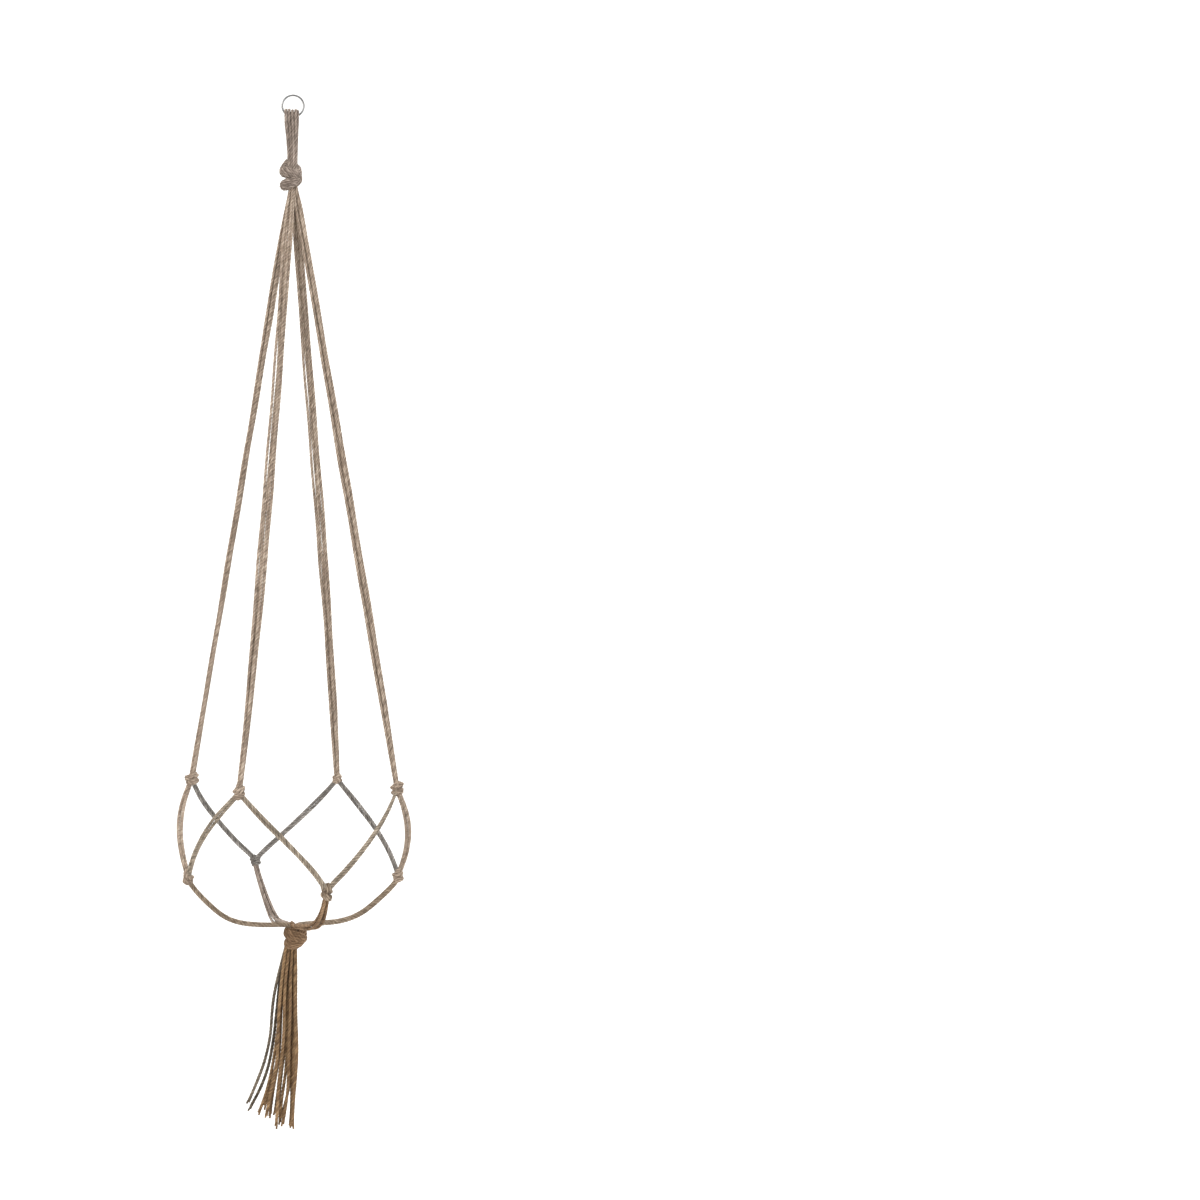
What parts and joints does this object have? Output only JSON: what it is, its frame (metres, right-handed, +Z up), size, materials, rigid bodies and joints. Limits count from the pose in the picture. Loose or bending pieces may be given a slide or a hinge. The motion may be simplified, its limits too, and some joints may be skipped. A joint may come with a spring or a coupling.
{
  "type": "hanging macrame plant holder",
  "caption": "Knotted cord plant holder that hangs from a small steel ring: legs, an open net that cradles a pot, and a tassel below.",
  "frame": {"origin": "inside top of the ring, where a hook carries it", "axes": "+Z up along the hanging cords, -Y is the front, the ring lies in the XZ plane"},
  "size_m": [0.2674, 0.2671, 1.1918],
  "materials": {
    "steel_ring": "plated round steel wire, polished",
    "jute_cord": "three-ply natural jute cord, undyed",
    "jute_knot": "three-ply natural jute cord, pulled tight in knots"
  },
  "bodies": {
    "hook_ring": {"ring": "steel_ring"},
    "hanging_loops": {"top_loop_1": "jute_cord", "top_loop_2": "jute_cord", "top_loop_3": "jute_cord", "top_loop_4": "jute_cord", "top_loop_5": "jute_cord", "top_loop_6": "jute_cord", "top_loop_7": "jute_cord", "top_loop_8": "jute_cord"},
    "harness": {"crown_knot": "jute_knot", "leg_left": "jute_cord", "leg_front": "jute_cord", "leg_right": "jute_cord", "leg_rear": "jute_cord", "shoulder_knot_left": "jute_knot", "shoulder_knot_front": "jute_knot", "shoulder_knot_right": "jute_knot", "shoulder_knot_rear": "jute_knot", "net_left_to_left_front": "jute_cord", "net_left_to_rear_left": "jute_cord", "net_front_to_left_front": "jute_cord", "net_front_to_front_right": "jute_cord", "net_right_to_front_right": "jute_cord", "net_right_to_right_rear": "jute_cord", "net_rear_to_right_rear": "jute_cord", "net_rear_to_rear_left": "jute_cord", "side_knot_left_front": "jute_knot", "side_knot_front_right": "jute_knot", "side_knot_right_rear": "jute_knot", "side_knot_rear_left": "jute_knot", "base_cords_left_front": "jute_cord", "base_cords_front_right": "jute_cord", "base_cords_right_rear": "jute_cord", "base_cords_rear_left": "jute_cord", "base_knot": "jute_knot"},
    "tassel": {"tassel_strand_01": "jute_cord", "tassel_strand_02": "jute_cord", "tassel_strand_03": "jute_cord", "tassel_strand_04": "jute_cord", "tassel_strand_05": "jute_cord", "tassel_strand_06": "jute_cord", "tassel_strand_07": "jute_cord", "tassel_strand_08": "jute_cord", "tassel_strand_09": "jute_cord", "tassel_strand_10": "jute_cord", "tassel_strand_11": "jute_cord", "tassel_strand_12": "jute_cord", "tassel_strand_13": "jute_cord", "tassel_strand_14": "jute_cord", "tassel_strand_15": "jute_cord", "tassel_strand_16": "jute_cord"}
  },
  "joints": [
    {"name": "loop_swing", "type": "hinge", "parent": "hook_ring", "child": "hanging_loops", "pos_m": [0, 0, -0.023], "axis": [1, 0, 0], "range_deg": [-60, 60]},
    {"name": "harness_twist", "type": "hinge", "parent": "hanging_loops", "child": "harness", "pos_m": [0, 0, -0.076], "axis": [0, 0, 1], "range_deg": [-90, 90]},
    {"name": "tassel_swing", "type": "hinge", "parent": "harness", "child": "tassel", "pos_m": [0, 0, -0.9685], "axis": [0, 1, 0], "range_deg": [-40, 40]}
  ]
}
